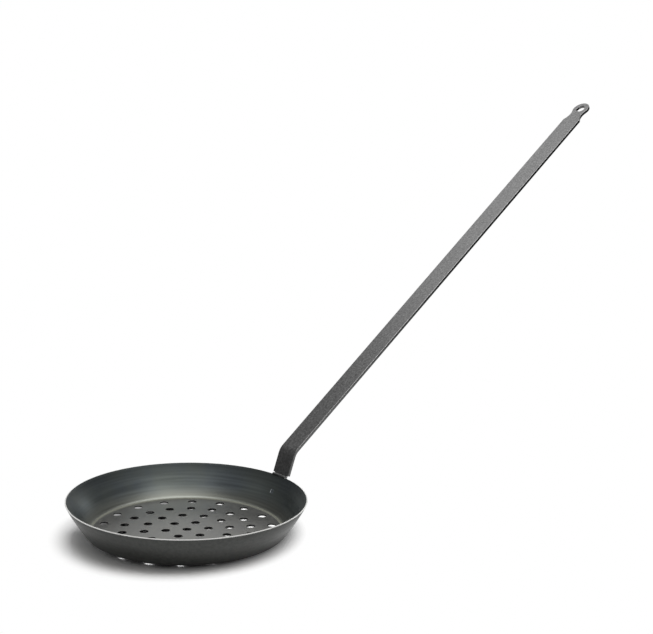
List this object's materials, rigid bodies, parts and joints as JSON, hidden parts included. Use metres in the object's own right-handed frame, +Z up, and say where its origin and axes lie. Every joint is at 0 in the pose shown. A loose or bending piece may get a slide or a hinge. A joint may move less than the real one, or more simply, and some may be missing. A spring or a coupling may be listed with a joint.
{
  "type": "chestnut roaster",
  "caption": "Long-handled steel pan for roasting over a fire: shallow round pan with flared wall and perforated floor, welded to a bent flat-bar handle that ends in a hanging eye.",
  "frame": {"origin": "centre of the underside of the pan's floor, on the plane that the pan stands on", "axes": "+X from the pan's centre towards the handle, +Y across the handle, +Z up"},
  "size_m": [0.8448, 0.28, 0.4865],
  "materials": {
    "pan_steel": "pressed steel sheet, blued dark grey, low satin sheen",
    "bar_steel": "hot-rolled flat bar, grey, satin with a fine grain",
    "weld_metal": "bare weld bead, pale grey"
  },
  "bodies": {
    "root": {"pan_body": "pan_steel", "handle_bar": "bar_steel", "rim_weld": "weld_metal", "spot_weld": "weld_metal", "foot_weld": "weld_metal"}
  },
  "joints": []
}
